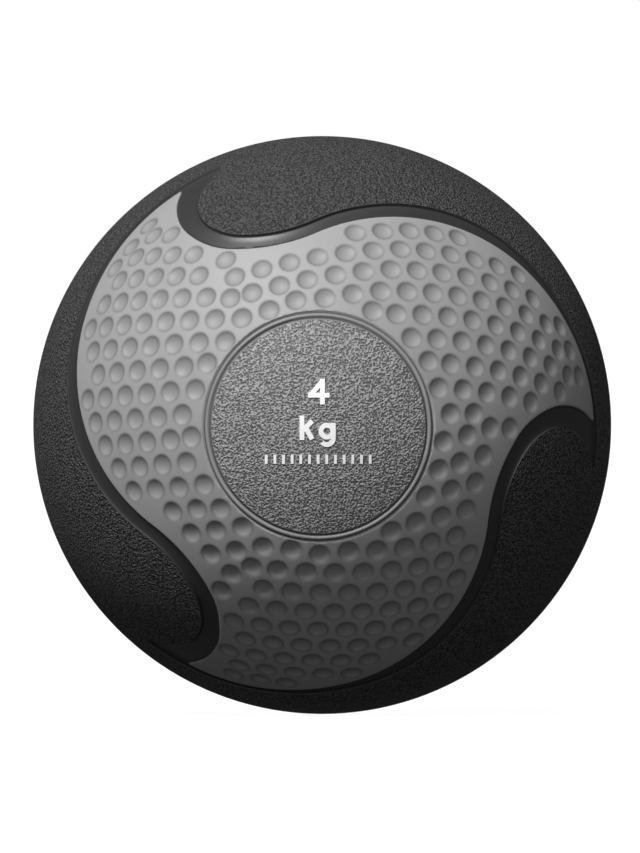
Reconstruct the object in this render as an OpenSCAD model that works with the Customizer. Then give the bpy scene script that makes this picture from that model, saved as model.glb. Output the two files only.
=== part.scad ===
// Rubber medicine ball with a three-armed grey swirl, a round badge on each side and a needle valve.
// The origin is the centre of the ball, +Z is up as the weight mark reads, and the front badge faces -Y.
// The rear half is the front half turned half a turn about Z, with the valve in the middle of its badge.
// Every seam, pocket wall and cut runs along Y, the way the mould opens.

/* [Ball] */
// Diameter over the black pads
ball_d = 230; // [190:1:280]
// Thickness of the black cover at the pads
cover_t = 7; // [5.5:0.1:9]
// Thickness of the heavy rubber wall under the cover
weight_t = 16.4; // [13:0.1:20]
// Thickness of the nylon thread winding
winding_t = 1; // [0.8:0.1:1.5]
// Thickness of the air bladder
bladder_t = 1.6; // [1.2:0.1:2.2]
// Film of rubber cement between one layer and the next
film = 0.05; // [0.02:0.01:0.1]

/* [Equator joint of the heavy rubber halves] */
// Height of the tongue on the front half
tongue_h = 3; // [2:0.1:4]
// Thickness of the tongue
tongue_t = 3.5; // [2.5:0.1:5]
// Clearance all round the tongue
tongue_gap = 0.1; // [0.05:0.01:0.2]

/* [Surface levels] */
// How far the smooth band lies below the pads
band_drop = 1.4; // [1:0.05:1.8]
// How far the grey inlay lies below the pads
inlay_drop = 0.8; // [0.5:0.05:1]
// How far the badge lies below the pads
badge_drop = 1; // [0.7:0.05:1.3]
// Thickness of the grey inlay
inlay_t = 3.2; // [2.6:0.1:4]

/* [Swirl outline, in shares of the ball's radius and degrees] */
// Centre of the wide end of an arm
arm_centre = [0.179, -0.012];
// Radius of the arm towards its tip
arm_tip_r = 0.761; // [0.74:0.001:0.77]
// Radius of the arm towards the next pad
arm_root_r = 0.656; // [0.64:0.001:0.67]
// Radius of the long hollow under a pad's head
belly_r = 0.703; // [0.68:0.001:0.72]
// Radius of the bend at the pad's head
shoulder_r = 0.243; // [0.22:0.001:0.26]
// Radius of the pad's nose
nose_r = 0.11; // [0.09:0.001:0.12]
// Angles at the arm's tip, its two bends, the belly's end, the shoulder's end and the nose's end
arm_angles = [1.9, 45.7, 113.3, 267.9, 231.3, 149];

/* [Pad outline, in shares of the ball's radius and degrees] */
// Centre of the wide end of the pad's inner edge
pad_centre = [0.098, -0.031];
// Radius of the pad's edge along its tail
tail_r = 0.857; // [0.85:0.001:0.86]
// Radius of the pad's edge towards its head
crest_r = 0.648; // [0.64:0.001:0.66]
// Radius of the long hollow under the pad's head
pad_belly_r = 0.607; // [0.59:0.001:0.62]
// Radius of the bend at the pad's head
pad_shoulder_r = 0.2235; // [0.21:0.0005:0.23]
// Radius of the pad's nose
pad_nose_r = 0.086; // [0.08:0.001:0.095]
// Radius of the pad's flank, from the nose to the next pad's tail
flank_r = 0.2635; // [0.26:0.0005:0.27]
// Angles at the tail, the two bends, the belly's end, the shoulder's end, the nose's end and the flank's end
pad_angles = [-7.9, 44.8, 113.9, 269.2, 240.6, 153.2, 128.2];

/* [Dimples, in degrees of arc] */
// Width of a dimple
dimple_span = 4.2; // [3.6:0.1:4.6]
// Depth of a dimple, as a share of its half width
dimple_depth = 0.26; // [0.15:0.01:0.32]
// Direction of each arm's middle line
arm_axis = 65.3; // [60:0.1:70]
// Tilt of the pole that the rows of dimples circle
row_pole_tilt = 62.5; // [58:0.1:66]
// Direction of that pole from the arm's middle line
row_pole_turn = 142.45; // [138:0.05:146]
// Distance from the pole to the innermost row
first_row = 83.15; // [82:0.05:84]
// Distance from row to row
row_pitch = 4.79; // [4.7:0.01:5]
// Distance between the dimples of a row
dimple_pitch = 5.65; // [5.5:0.01:5.8]
// Plain rim that a dimple keeps from every edge, in millimetres
dimple_rim = 0.45; // [0.3:0.05:0.8]
// Dimples in the gaps between the rows: direction from the arm's middle line, and tilt from the badge's axis
gap_dimples = [[-34.8, 26.2], [-0.5, 26.1], [34.8, 26.2], [59.3, 32.5], [54, 41.2], [-42.8, 63.8], [-48.6, 64.4],
    [-54.6, 65.8], [-59, 63]];

/* [Badge] */
// Diameter of the badge
badge_d = 90; // [76:1:112]
// Width of the raised bead round the badge
bead_w = 2.4; // [1.8:0.1:3]
// Height of the bead over the badge
bead_h = 0.45; // [0.3:0.05:0.6]
// Radius of the fine groove on each side of the bead
groove_r = 0.6; // [0.4:0.05:0.8]

/* [Printed mark] */
// Thickness of the ink
ink_t = 0.15; // [0.1:0.01:0.25]
// Height of the numeral
numeral_h = 10.3; // [8:0.1:12]
// Height of the unit's tall stroke
unit_h = 9.6; // [8:0.1:11]
// Width of a stroke
stroke_w = 1.9; // [1.4:0.1:2.2]
// Number of plain ticks in the row below the unit
tick_count = 13; // [5:1:15]
// Distance from tick to tick
tick_pitch = 3.4; // [3:0.1:3.8]
// Height of a tick
tick_h = 3.6; // [2:0.1:4]
// Width of a tick
tick_w = 1.1; // [0.8:0.1:1.4]
// Heights of the numeral, the unit and the ticks on the front badge
front_mark_z = [13.9, -0.4, -12.8];
// Heights of the numeral, the unit and the ticks on the rear badge, clear of the valve
rear_mark_z = [16.5, -14.5, -27];

/* [Needle valve] */
// Radius of the hole that guides a pump needle
needle_r = 1.1; // [1.05:0.01:1.3]
// Depth of the countersink at the mouth of the hole
lead_in = 1.2; // [0.8:0.1:1.6]
// Length of the closed, self-sealing end of the valve core
seal_l = 4; // [3:0.1:6]
// Radius of the valve core
core_r = 4.5; // [4:0.1:5.5]
// Radius of the core's head in the badge
core_head_r = 6; // [5.6:0.1:7]
// Radius of the boot's stem
boot_r = 8; // [6.6:0.1:10]
// Radius of the boot's flange inside the bladder
flange_r = 18; // [14:0.5:24]
// Thickness of the flange
flange_t = 1.2; // [0.8:0.1:2]
// Thickness of the boot's floor under the core
boot_floor = 3; // [2:0.1:4]
// Radius of the air hole through that floor
air_hole_r = 2; // [1.5:0.1:2.5]

/* [Hidden] */
$fn = 180;

// Radii of the surfaces, from the outside in
pad_r = ball_d / 2;
band_r = pad_r - band_drop;
inlay_r = pad_r - inlay_drop;
badge_r = pad_r - badge_drop;
seat_r = inlay_r - inlay_t;
cover_in_r = pad_r - cover_t;
weight_r = cover_in_r - film;
weight_in_r = weight_r - weight_t;
winding_r = weight_in_r - film;
winding_in_r = winding_r - winding_t;
bladder_r = winding_in_r - film;
bladder_in_r = bladder_r - bladder_t;
tongue_r = (weight_r + weight_in_r) / 2;
badge_edge_r = badge_d / 2;
inner_groove_r = badge_edge_r - bead_w;
boot_end = seat_r - film - boot_r * boot_r / 2 / seat_r;
core_bottom = bladder_in_r - flange_t + boot_floor;
mouth = badge_r - lead_in;
needle_l = mouth - core_bottom - seal_l;

// Degrees between the points of an arc, and the length of a cut that passes right through
arc_step = 3;
reach = pad_r + 5;

function unit(a) = [cos(a), sin(a)];
function turned(p, a) = [p[0] * cos(a) - p[1] * sin(a), p[0] * sin(a) + p[1] * cos(a)];
// Points along an arc from angle a to angle b
function arc(c, r, a, b) =
    let (n = ceil(abs(b - a) / arc_step))
    [for (i = [0 : n]) c + r * unit(a + (b - a) * i / n)];
// Centre of the arc that follows another one inside its bend, where both share the point at angle a
function next_centre(c, r, r_next, a) = c + (r - r_next) * unit(a);

// One third of a swirl: the arm's two arcs, then the belly, shoulder and nose of the pad that follows.
// w holds the arcs' centres and r their radii.
function swirl_centres(c, r, a) =
    let (root = next_centre(c, r[0], r[1], a[1]),
         belly = root + (r[1] + r[2]) * unit(a[2]),
         shoulder = next_centre(belly, r[2], r[3], a[3]),
         nose = next_centre(shoulder, r[3], r[4], a[4]))
    [c, root, belly, shoulder, nose];
// Angles at which each arc of a third begins and ends, where the belly's arc starts opposite the root's end
function arc_starts(a) = [a[0], a[1], a[2] + 180, a[3], a[4]];
function arc_ends(a) = [a[1], a[2], a[3], a[4], a[5]];
function swirl_third(w, r, a) =
    let (from = arc_starts(a), to = arc_ends(a))
    [for (i = [0 : 4]) each arc(w[i], r[i], from[i], to[i])];
function three_times(points) = [for (k = [0 : 2]) each [for (p = points) turned(p, 120 * k)]];

arm_radii = pad_r * [arm_tip_r, arm_root_r, belly_r, shoulder_r, nose_r];
arm_centres = swirl_centres(pad_r * arm_centre, arm_radii, arm_angles);
inlay_outline = three_times(swirl_third(arm_centres, arm_radii, arm_angles));

pad_radii = pad_r * [tail_r, crest_r, pad_belly_r, pad_shoulder_r, pad_nose_r];
pad_centres = swirl_centres(pad_r * pad_centre, pad_radii, pad_angles);
flank_centre = next_centre(pad_centres[4], pad_radii[4], pad_r * flank_r, pad_angles[5]);
flank = arc(flank_centre, pad_r * flank_r, pad_angles[5], pad_angles[6]);
band_outline = three_times(concat(swirl_third(pad_centres, pad_radii, pad_angles), flank));

// Directions from the middle of the ball, as [right, up, out] seen from the badge's side
function direction(tilt, turn) = [sin(tilt) * cos(turn), sin(tilt) * sin(turn), cos(tilt)];
// p turned by angle a about the direction q
function about(q, p, a) = p * cos(a) + cross(q, p) * sin(a) + q * (q * p) * (1 - cos(a));
row_pole = direction(row_pole_tilt, row_pole_turn);
// Tilt at which the row that lies d degrees from the pole crosses the arm's middle line
function row_start(d) =
    let (lean = atan2(row_pole[0], row_pole[2]), share = norm([row_pole[0], row_pole[2]]))
    lean + acos(cos(d) / share);
// Dimple number i of the row that lies d degrees from the pole, counted from the arm's middle line
function row_dimple(d, i) =
    about(row_pole, direction(row_start(d), 0), -2 * i * asin(sin(dimple_pitch / 2) / sin(d)));
// How much longer a short step along e is on the ball than it looks from the badge's side, at p
function stretch(p, e) = sqrt(1 + pow(p * e / pad_r, 2) / (1 - p * p / pad_r / pad_r));
// Distance over the ball from p to the stretch of circle between angles a and b, and far away beside it
function arc_gap(p, c, r, a, b) =
    let (d = norm(p - c), t = (atan2(p[1] - c[1], p[0] - c[0]) + 360) % 360)
    t >= min(a, b) && t <= max(a, b) ? abs(d - r) * stretch(p, (p - c) / d) : pad_r;
// Distance over the ball from p to the inlay's edge
function edge_gap(p) =
    let (from = arc_starts(arm_angles), to = arc_ends(arm_angles))
    min([for (k = [0 : 2]) for (i = [0 : 4])
        arc_gap(turned(p, 120 * k), arm_centres[i], arm_radii[i], from[i], to[i])]);
// True inside an outline: a line to the right of p crosses it an odd number of times
function inside(p, outline) =
    let (n = len(outline))
    len([for (i = [0 : n - 1])
        let (a = outline[i], b = outline[(i + 1) % n])
        if ((a[1] > p[1]) != (b[1] > p[1])
            && p[0] < a[0] + (p[1] - a[1]) / (b[1] - a[1]) * (b[0] - a[0])) 1]) % 2 == 1;
dimple_r = inlay_r * sin(dimple_span / 2);
dimple_margin = dimple_r + dimple_rim;
function fits(d) =
    let (p = pad_r * [d[0], d[1]])
    norm(p) - badge_edge_r > dimple_margin * d[2] + groove_r && inside(p, inlay_outline)
        && edge_gap(p) > dimple_margin;
function turned3(d, a) = [each turned([d[0], d[1]], a), d[2]];
// Rows on the leading side of each arm, from its middle line to the next arm
leading = [for (row = [0 : 8]) for (i = [0 : 12])
    let (d = row_dimple(first_row + row * row_pitch, i), turn = atan2(d[1], d[0]))
    if (turn > -61 && fits(turned3(d, arm_axis))) d];
// The same rows mirrored to the trailing side, where they keep clear of the next arm's
crowded = cos(dimple_pitch * 0.85);
function crowds(d) = max([for (e = leading) d * turned3(e, 120)]) > crowded;
trailing = [for (d = leading)
    let (m = [d[0], -d[1], d[2]])
    if (m[1] > 0.01 && !crowds(m) && fits(turned3(m, arm_axis))) m];
between = [for (g = gap_dimples)
    let (d = direction(g[1], g[0]))
    if (fits(turned3(d, arm_axis))) d];
dimples = [for (d = concat(leading, trailing, between)) for (k = [0 : 2]) turned3(d, arm_axis + 120 * k)];

// Radius of the ball that presses a dimple, and its distance from the middle
press_r = dimple_r * (1 + dimple_depth * dimple_depth) / 2 / dimple_depth;
press_at = inlay_r * cos(dimple_span / 2) + sqrt(press_r * press_r - dimple_r * dimple_r);

// A ball with its poles at the badges
module ball(r) { rotate([90, 0, 0]) sphere(r); }
module shell(r, r_in) { difference() { ball(r); ball(r_in); } }
// Everything on the front side of the equator
module front_side() { translate([-reach, -reach, -reach]) cube([2 * reach, reach, 2 * reach]); }
module rear() { rotate([0, 0, 180]) children(); }
module half_shell(r, r_in) { intersection() { shell(r, r_in); front_side(); } }
// An outline seen from the front, drawn out from the equator to beyond the front badge
module from_front(h = reach) { rotate([90, 0, 0]) linear_extrude(height = h) children(); }
// A cylinder along the valve's axis, from one height to another
module valve_rod(r, from, to) { translate([0, from, 0]) rotate([-90, 0, 0]) cylinder(r = r, h = to - from); }

// Layers inside the cover
module bladder() {
    color("sienna") difference() {
        shell(bladder_r, bladder_in_r);
        valve_rod(boot_r, 0, reach);
    }
}
module thread_winding() {
    color("wheat") difference() {
        shell(winding_r, winding_in_r);
        valve_rod(boot_r, 0, reach);
    }
}
module tongue(gap) {
    from_front(tongue_h + gap) difference() {
        circle(tongue_r + tongue_t / 2 + gap);
        circle(tongue_r - tongue_t / 2 - gap);
    }
}
module weight_shell_front() {
    color("dimgray") union() {
        half_shell(weight_r, weight_in_r);
        rear() tongue(0);
    }
}
module weight_shell_rear() {
    color("gray") difference() {
        rear() half_shell(weight_r, weight_in_r);
        rear() tongue(tongue_gap);
        valve_rod(boot_r, 0, reach);
    }
}

// Needle valve, along +Y
module valve_boot() {
    color("saddlebrown") difference() {
        union() {
            intersection() {
                shell(bladder_in_r, bladder_in_r - flange_t);
                valve_rod(flange_r, 0, reach);
            }
            valve_rod(boot_r, bladder_in_r - flange_t, boot_end);
        }
        valve_rod(core_r, core_bottom, reach);
        valve_rod(air_hole_r, 0, reach);
    }
}
module valve_core() {
    color("darkslategray") difference() {
        union() {
            valve_rod(core_r, core_bottom, mouth);
            intersection() {
                valve_rod(core_head_r, boot_end, reach);
                ball(badge_r);
            }
        }
        valve_rod(needle_r, mouth - needle_l, reach);
        translate([0, mouth, 0]) rotate([-90, 0, 0]) cylinder(r1 = needle_r, r2 = 2 * needle_r, h = lead_in);
    }
}

// Black cover of one half: pads, the smooth band below them, and the pocket for the inlay and badge
module cover_half() {
    difference() {
        half_shell(pad_r, cover_in_r);
        difference() {
            from_front() polygon(band_outline);
            ball(band_r);
        }
        difference() {
            from_front() polygon(inlay_outline);
            ball(seat_r);
        }
    }
}
module cover_front() { color("#1d1d1f") cover_half(); }
module cover_rear() {
    color("#1d1d1f") difference() {
        rear() cover_half();
        valve_rod(boot_r, 0, reach);
    }
}

// Fine groove along a circle of radius r on the surface of radius s
module ring_groove(r, s) {
    rotate([90, 0, 0]) rotate_extrude() translate([r, sqrt(s * s - r * r)]) circle(groove_r, $fn = 24);
}
module inlay_half() {
    difference() {
        intersection() {
            shell(inlay_r, seat_r + film);
            from_front() polygon(inlay_outline);
        }
        from_front() circle(badge_edge_r);
        ring_groove(badge_edge_r, inlay_r);
        for (d = dimples) translate(press_at * [d[0], -d[2], d[1]]) sphere(press_r, $fn = 60);
    }
}
module inlay_front() { color("#8f8f8f") inlay_half(); }
module inlay_rear() { color("#8f8f8f") rear() inlay_half(); }

// Badge of one half, with a bead between two fine grooves
module badge_half() {
    bead_r = (bead_h * bead_h + bead_w * bead_w / 4) / 2 / bead_h;
    bead_mid = badge_edge_r - bead_w / 2;
    difference() {
        union() {
            intersection() {
                shell(badge_r, seat_r + film);
                from_front() circle(badge_edge_r);
            }
            intersection() {
                rotate([90, 0, 0]) rotate_extrude()
                    translate([bead_mid, sqrt(badge_r * badge_r - bead_mid * bead_mid) + bead_h - bead_r])
                        circle(bead_r, $fn = 48);
                from_front() circle(badge_edge_r);
                shell(reach, seat_r + 1);
            }
        }
        ring_groove(badge_edge_r, badge_r);
        ring_groove(inner_groove_r, badge_r);
    }
}
module badge_front() { color("#6f6f6f") badge_half(); }
module badge_rear() {
    color("#6f6f6f") difference() {
        rear() badge_half();
        valve_rod(core_head_r, 0, reach);
    }
}

// Strokes of the printed mark, with square ends
module stroke(p, q) {
    d = q - p;
    translate(p) rotate(atan2(d[1], d[0])) translate([-stroke_w / 2, -stroke_w / 2])
        square([norm(d) + stroke_w, stroke_w]);
}
module numeral_four(h) {
    stroke([0.2 * h, -0.5 * h], [0.2 * h, 0.47 * h]);
    stroke([0.14 * h, 0.41 * h], [-0.31 * h, -0.12 * h]);
    stroke([-0.36 * h, -0.18 * h], [0.42 * h, -0.18 * h]);
}
module letter_k(h) {
    stroke([0, -0.5 * h], [0, 0.5 * h]);
    stroke([0.04 * h, -0.12 * h], [0.44 * h, 0.26 * h]);
    stroke([0.2 * h, 0], [0.46 * h, -0.48 * h]);
}
// A ring, with a bar beside it that ends in a hook
module letter_g(h) {
    bowl = 0.3 * h;
    bar = bowl + 0.1 * stroke_w;
    half = stroke_w / 2;
    difference() {
        circle(bowl + half);
        circle(bowl - half);
    }
    polygon(concat([[bar - half, bowl + half], [bar + half, bowl + half]],
        arc([0, -1.2 * bowl], bar + half, 0, -140), arc([0, -1.2 * bowl], bar - half, -140, 0)));
}
module weight_mark(z) {
    intersection() {
        shell(badge_r + ink_t, badge_r);
        from_front() {
            translate([0, z[0]]) numeral_four(numeral_h - stroke_w);
            translate([-0.66 * unit_h, z[1]]) letter_k(unit_h - stroke_w);
            translate([0.36 * unit_h, z[1] - 0.14 * unit_h]) letter_g(unit_h - stroke_w);
            for (i = [0 : tick_count - 1]) translate([(i - (tick_count - 1) / 2) * tick_pitch, z[2]])
                square([tick_w, tick_h], center = true);
        }
    }
}
module weight_mark_front() { color("white") weight_mark(front_mark_z); }
module weight_mark_rear() { color("white") rear() weight_mark(rear_mark_z); }

bladder();
thread_winding();
valve_boot();
valve_core();
weight_shell_front();
weight_shell_rear();
cover_front();
cover_rear();
inlay_front();
inlay_rear();
badge_front();
badge_rear();
weight_mark_front();
weight_mark_rear();
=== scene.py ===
import functools
import math

import bpy
import numpy as np
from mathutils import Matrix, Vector
from mathutils.geometry import delaunay_2d_cdt


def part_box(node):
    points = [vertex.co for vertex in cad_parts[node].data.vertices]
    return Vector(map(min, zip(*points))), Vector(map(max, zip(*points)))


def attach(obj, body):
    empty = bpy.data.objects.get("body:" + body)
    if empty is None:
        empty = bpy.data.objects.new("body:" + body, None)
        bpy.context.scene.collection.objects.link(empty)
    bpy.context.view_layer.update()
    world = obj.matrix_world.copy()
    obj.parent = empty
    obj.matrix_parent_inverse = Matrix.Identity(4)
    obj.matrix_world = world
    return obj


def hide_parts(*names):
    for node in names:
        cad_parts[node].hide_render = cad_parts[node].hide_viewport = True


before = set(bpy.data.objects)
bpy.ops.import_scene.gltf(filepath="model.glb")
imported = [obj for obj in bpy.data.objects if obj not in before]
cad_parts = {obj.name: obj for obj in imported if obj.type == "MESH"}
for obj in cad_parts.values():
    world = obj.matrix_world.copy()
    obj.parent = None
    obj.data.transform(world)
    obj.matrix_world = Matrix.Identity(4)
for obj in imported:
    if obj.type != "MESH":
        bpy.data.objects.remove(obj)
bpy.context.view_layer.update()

bl_info = {
    "name": "Medicine Ball Looks",
    "version": (1, 0, 0),
    "blender": (4, 5, 0),
    "location": "View3D > Sidebar > Medicine Ball",
    "description": "Builds the grained cover, dimpled inlay, badges and print of a rubber medicine ball",
    "category": "Add Mesh",
}

PAD_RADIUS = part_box("cover_front")[1].x
BADGE_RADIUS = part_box("badge_front")[1].x
SIDES = {"front": 1, "rear": -1}
THIRDS = (0, 120, 240)
MM = 0.001
TINY = 1e-12
WHITE = (1, 1, 1, 1)
IMAGE = (640, 853)  # width and height of the image that the ball's outline is placed in
SENSOR = 36.0  # width of the camera's sensor, in millimetres

# Fixed shapes. A share is of the size that its comment names.
CREST_SHARE = 0.2  # height of the pads' rounded crest, of the band's drop
CREST_TURN = 0.98  # how much of a quarter circle that crest turns through
FOOT_SHARE = 0.3  # height of the hollow foot, of the band's drop
BEVEL = 0.3 * MM  # width of the cover's bevel beside the inlay
BEVEL_SHARE = 0.7  # depth of that bevel, of its width
PARTING_WIDTH = 0.3 * MM  # half the width of the parting line
INLAY_EDGE = 0.45 * MM  # rounding of the inlay's own edge
BADGE_SEAT = 0.9 * MM  # how far below the pads the badge meets the inlay
VALVE_DIP = 0.15 * MM  # how far the badge sinks round the head of the valve core
NO_DIMPLE = -1 * MM  # depth taken for a point outside every dimple, well above the surface
BEAD_PLACES = (0, 0.12, 0.25, 0.36, 0.5, 0.64, 0.75, 0.88, 1, 1.12, 1.25, 1.38)  # of the bead's width
BEAD_HEIGHTS = (-1.33, -1.1, 0.3, 0.86, 1, 0.86, 0.3, -1.1, -1.33, -1.1, -0.2, 0)  # of the bead's height

# Rows of points laid along the edges, in millimetres from them, and across the bead, in shares of its width.
PAD_ROWS = (-1.2, -0.6, -0.3, -0.1, 0, 0.28, 0.55, 1.0)
BEVEL_ROWS = (-0.12, -0.3)
PARTING_ROWS = (0.2, 0.45, 0.8)
INLAY_ROWS = (0.05, 0.14, 0.28, 0.45)
GROOVE_ROWS = (0.25, 0.45, 0.57, 0.68)
BEAD_ROWS = (0.06, 0.12, 0.18, 0.25, 0.3, 0.36, 0.43, 0.5, 0.57, 0.64, 0.7, 0.75, 0.82, 0.88, 0.94, 1, 1.06,
             1.12, 1.18, 1.25, 1.31, 1.38)

# Limits of the search for dimples.
DIMPLE_ROWS, DIMPLES_PER_ROW = 9, 13
LEADING_END = -61  # direction from the arm's middle line at which the leading rows end, in degrees
OFF_MIDDLE = 0.01  # how far off the middle line a mirrored dimple has to lie, of the radius
CROWDED = 0.85  # distance under which two dimples crowd each other, of the pitch

# Mesh and noise.
ROW_SPACING = 0.85  # spacing along a row, of the step asked for
ROW_KEPT = 0.97  # distance from the outline that a row's point keeps, of the row's own
MERGE = 0.0005 * MM  # grid on which points that fall together become one
SHARP_ANGLE = 60  # angle between faces from which their edge is drawn sharp, in degrees
HASH = (73856093, 19349663, 83492791, 2654435761, 2246822519, 3266489917)
LOW_32 = 0xffffffff


# ---- settings

def length(name, default, description):
    return bpy.props.FloatProperty(name=name, description=description, default=default, unit="LENGTH",
                                   precision=5)


def colour(name, default, description):
    return bpy.props.FloatVectorProperty(name=name, description=description, default=default,
                                         subtype="COLOR", size=4, min=0, max=1)


def numbers(name, default, description):
    return bpy.props.FloatVectorProperty(name=name, description=description, default=default,
                                         size=len(default), precision=4)


def light(name, default):
    return numbers(name, default, f"Direction to the {name.lower()}, its strength and its softness")


class MedicineBallLevels(bpy.types.PropertyGroup):
    """Radii of the ball's surfaces and thicknesses of its layers"""
    pad_r: length("Pad radius", PAD_RADIUS, "Radius over the grained pads")
    band_drop: length("Band drop", 1.4 * MM, "How far the smooth band lies below the pads")
    inlay_drop: length("Inlay drop", 0.8 * MM, "How far the grey inlay lies below the pads")
    badge_drop: length("Badge drop", 1.0 * MM, "How far the badge lies below the pads")
    inlay_t: length("Inlay thickness", 3.2 * MM, "Thickness of the grey inlay")
    cover_t: length("Cover thickness", 7.0 * MM, "Thickness of the black cover at the pads")
    film: length("Cement film", 0.05 * MM, "Film of rubber cement under the inlay and badge")
    crest: length("Crest rounding", 0.14 * MM, "Width of the rounding along the pads' edge")
    wall: length("Wall width", 0.3 * MM, "How far the wall of a pad leans out")
    foot: length("Foot rounding", 3.3 * MM, "Width of the hollow rounding at the foot of that wall")
    parting: length("Parting line", 0.25 * MM, "Depth of the fine line where the two mould halves meet")


class MedicineBallSwirl(bpy.types.PropertyGroup):
    """Arcs of the swirl's outlines, in shares of the ball's radius and degrees"""
    arm_centre: numbers("Arm centre", (0.179, -0.012), "Centre of the wide end of an arm")
    arm_radii: numbers("Arm radii", (0.761, 0.656, 0.703, 0.243, 0.11),
                       "Radii of the arm's two arcs, the belly, the shoulder and the nose")
    arm_angles: numbers("Arm angles", (1.9, 45.7, 113.3, 267.9, 231.3, 149.0),
                        "Angles at which those arcs begin and end")
    pad_centre: numbers("Pad centre", (0.098, -0.031), "Centre of the wide end of the pad's inner edge")
    pad_radii: numbers("Pad radii", (0.857, 0.648, 0.607, 0.2235, 0.086, 0.2635),
                       "Radii of the tail, the crest, the belly, the shoulder, the nose and the flank")
    pad_angles: numbers("Pad angles", (-7.9, 44.8, 113.9, 269.2, 240.6, 153.2, 128.2),
                        "Angles at which those arcs begin and end")


class MedicineBallDimples(bpy.types.PropertyGroup):
    """Dimples of the inlay, in rows that circle a pole"""
    span: numbers("Span", (4.2,), "Width of a dimple, in degrees of arc")
    depth: numbers("Depth", (0.26,), "Depth of a dimple, as a share of its half width")
    lip: length("Lip", 0.08 * MM, "Softness of a dimple's lip")
    arm_axis: numbers("Arm axis", (65.3,), "Direction of each arm's middle line, in degrees")
    pole: numbers("Pole", (62.5, 142.45), "Tilt and turn of the rows' pole from the arm's middle line")
    first_row: numbers("First row", (83.15,), "Distance from the pole to the innermost row, in degrees")
    row_pitch: numbers("Row pitch", (4.79,), "Distance from row to row, in degrees")
    pitch: numbers("Pitch", (5.65,), "Distance between the dimples of a row, in degrees")
    rim: length("Rim", 0.45 * MM, "Plain rim that a dimple keeps from every edge")
    gap_turns: numbers("Gap turns", (-34.8, -0.5, 34.8, 59.3, 54, -42.8, -48.6, -54.6, -59),
                       "Directions of the dimples between the rows, from the arm's middle line")
    gap_tilts: numbers("Gap tilts", (26.2, 26.1, 26.2, 32.5, 41.2, 63.8, 64.4, 65.8, 63),
                       "Tilts of those dimples from the badge's axis")


class MedicineBallBadge(bpy.types.PropertyGroup):
    """The badge, its bead and its leather grain"""
    edge_r: length("Edge radius", BADGE_RADIUS, "Radius of the badge")
    bead_w: length("Bead width", 2.4 * MM, "Width of the raised bead round the badge")
    bead_h: length("Bead height", 0.38 * MM, "Height of the bead over the badge")
    groove: length("Groove", 0.6 * MM, "Half the width and the depth of the fine grooves beside the bead")
    grain_depth: length("Grain depth", 0.22 * MM, "Depth of the leather grain")
    grain_size: length("Grain size", 1.25 * MM, "Size of the leather grain across the wrinkles")
    core_r: length("Valve core radius", 6.0 * MM, "Radius of the valve core's head in the rear badge")
    boot_r: length("Valve stem radius", 8.0 * MM, "Radius of the hole for the valve's stem")


class MedicineBallFinish(bpy.types.PropertyGroup):
    """Colours and mesh spacings"""
    black: colour("Black rubber", (0.042, 0.042, 0.043, 1), "Colour of the cover")
    grey: colour("Grey rubber", (0.285, 0.285, 0.285, 1), "Colour of the inlay")
    badge: colour("Badge rubber", (0.2, 0.2, 0.2, 1), "Colour of the badge")
    ink: colour("White ink", (0.93, 0.93, 0.93, 1), "Colour of the print")
    heavy: colour("Heavy rubber", (0.060, 0.055, 0.050, 1), "Colour of the rubber under the cover")
    thread: colour("Nylon thread", (0.72, 0.68, 0.58, 1), "Colour of the winding")
    bladder: colour("Bladder rubber", (0.030, 0.028, 0.026, 1), "Colour of the bladder and the valve boot")
    valve: colour("Valve rubber", (0.025, 0.025, 0.026, 1), "Colour of the valve core")
    floor: colour("Floor", (0.08, 0.08, 0.08, 1), "Colour of the floor, which the floor's glow adds to")
    cover_step: length("Cover spacing", 1.0 * MM, "Spacing of the points over the cover")
    inlay_step: length("Inlay spacing", 0.66 * MM, "Spacing of the points over the inlay")
    badge_step: length("Badge spacing", 0.40 * MM, "Spacing of the points over the badge")
    hidden_step: length("Hidden spacing", 4.5 * MM, "Spacing of the points over the hidden inner faces")


class MedicineBallStage(bpy.types.PropertyGroup):
    """Camera, floor and lights"""
    lens: numbers("Lens", (1000.0,), "Focal length of the camera, in millimetres")
    outline: numbers("Outline", (289.5, 322.2, 425.0),
                     "Radius and centre of the ball's outline in an image 640 wide and 853 high")
    camera_turn: numbers("Camera turn", (0.81, 0.34),
                         "How far the camera stands to the right and above, in degrees")
    key: light("Key light", (-0.40, -0.47, 0.79, 4.35, 18.0))
    side: light("Side light", (0.32, -0.55, 0.77, 0.55, 50.0))
    front: light("Front light", (-0.12, -0.95, 0.22, 0.55, 30.0))
    back: light("Back light", (0.0, 1.0, 0.0, 1.3, 3.0))
    fill: numbers("Fill", (0.06,), "Strength of the even light from all round")
    glow: numbers("Floor glow", (0.93,), "Strength of the light that the floor gives off")


GROUPS = {"mb_levels": MedicineBallLevels, "mb_swirl": MedicineBallSwirl, "mb_dimples": MedicineBallDimples,
          "mb_badge": MedicineBallBadge, "mb_finish": MedicineBallFinish, "mb_stage": MedicineBallStage}


def settings(*groups):
    """The named groups of settings."""
    return [getattr(bpy.context.scene, "mb_" + group) for group in groups]


# ---- places on the ball
# A half of the ball is drawn on a flat map: a point's direction from the map's middle is its direction
# round the badge, and its distance from the middle is the arc from the badge's axis over the pads. The view
# is the same half seen from far in front of the badge, where distances are shortened towards the rim.

def away(points):
    """Distances of points from the middle."""
    return np.linalg.norm(points, axis=-1)


def bearing(angle):
    """Unit vectors at the given angles, in degrees."""
    return np.stack([np.cos(np.radians(angle)), np.sin(np.radians(angle))], -1)


def turned(points, angle):
    """Points of the plane turned about its middle by an angle in degrees."""
    (c, s) = bearing(angle)
    x, y = points[..., 0], points[..., 1]
    return np.stack([x * c - y * s, x * s + y * c], -1)


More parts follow.
